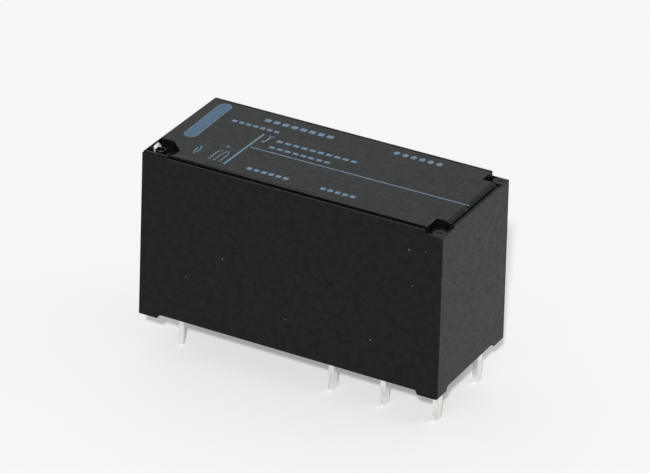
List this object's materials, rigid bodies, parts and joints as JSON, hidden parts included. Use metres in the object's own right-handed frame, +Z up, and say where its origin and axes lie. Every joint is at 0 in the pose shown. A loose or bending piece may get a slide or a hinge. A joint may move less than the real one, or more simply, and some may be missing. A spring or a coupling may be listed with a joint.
{
  "type": "pcb power relay",
  "caption": "Sealed power relay for printed circuit boards: black drafted case on corner feet, coil pins at one end, changeover contact pins at the other, with its working parts inside.",
  "frame": {"origin": "centre of the case's footprint, at the level of the pin tips on which the relay stands", "axes": "+X from the coil pins to the contact pins along the length, +Y across to the back row of pins, +Z up away from the board"},
  "size_m": [0.029, 0.0126, 0.0192],
  "materials": {
    "case_plastic": "satin black moulding, fine grain",
    "base_plastic": "satin black moulding",
    "resin": "dark cured epoxy, slightly glossy",
    "bobbin_plastic": "natural ivory moulding",
    "card_plastic": "natural white moulding",
    "enamelled_copper": "fine enamelled copper wire, close wound",
    "soft_iron": "plated soft iron, satin",
    "tinned_copper": "bright tin on copper",
    "copper_alloy": "bare copper alloy strip",
    "spring_steel": "stainless spring strip",
    "silver_alloy": "silver alloy contact, satin"
  },
  "bodies": {
    "case": {"cover": "case_plastic", "base": "base_plastic", "sealing_resin": "resin", "bobbin": "bobbin_plastic", "coil_winding": "enamelled_copper", "core": "soft_iron", "yoke": "soft_iron", "armature_spring": "spring_steel", "coil_pin_front": "tinned_copper", "coil_pin_back": "tinned_copper", "nc_terminal": "tinned_copper", "nc_contact": "silver_alloy", "no_terminal": "tinned_copper", "no_contact": "silver_alloy", "com_terminal": "tinned_copper", "spring_rivet_front": "copper_alloy", "spring_rivet_back": "copper_alloy"},
    "armature": {"armature": "soft_iron"},
    "card": {"card": "card_plastic"},
    "contact_arm": {"moving_spring": "copper_alloy", "moving_contact": "silver_alloy"}
  },
  "joints": [
    {"name": "armature_tilt", "type": "hinge", "parent": "case", "child": "armature", "pos_m": [-0.01125, 0, 0.00662], "axis": [0, 1, 0], "range_deg": [0, 4], "stiffness_Nm_per_rad": 0.004, "springref_deg": -14.32},
    {"name": "card_slide", "type": "slide", "parent": "case", "child": "card", "axis": [1, 0, 0], "range_m": [0, 0.00076]},
    {"name": "spring_bend", "type": "hinge", "parent": "case", "child": "contact_arm", "pos_m": [0.00804, 0, 0.00865], "axis": [0, 1, 0], "range_deg": [0, 4.94]}
  ],
  "couplings": [
    {"joint": "card_slide", "follows": "armature_tilt", "m_per_rad": 0.010767},
    {"joint": "spring_bend", "follows": "armature_tilt", "ratio": 1.2318}
  ]
}
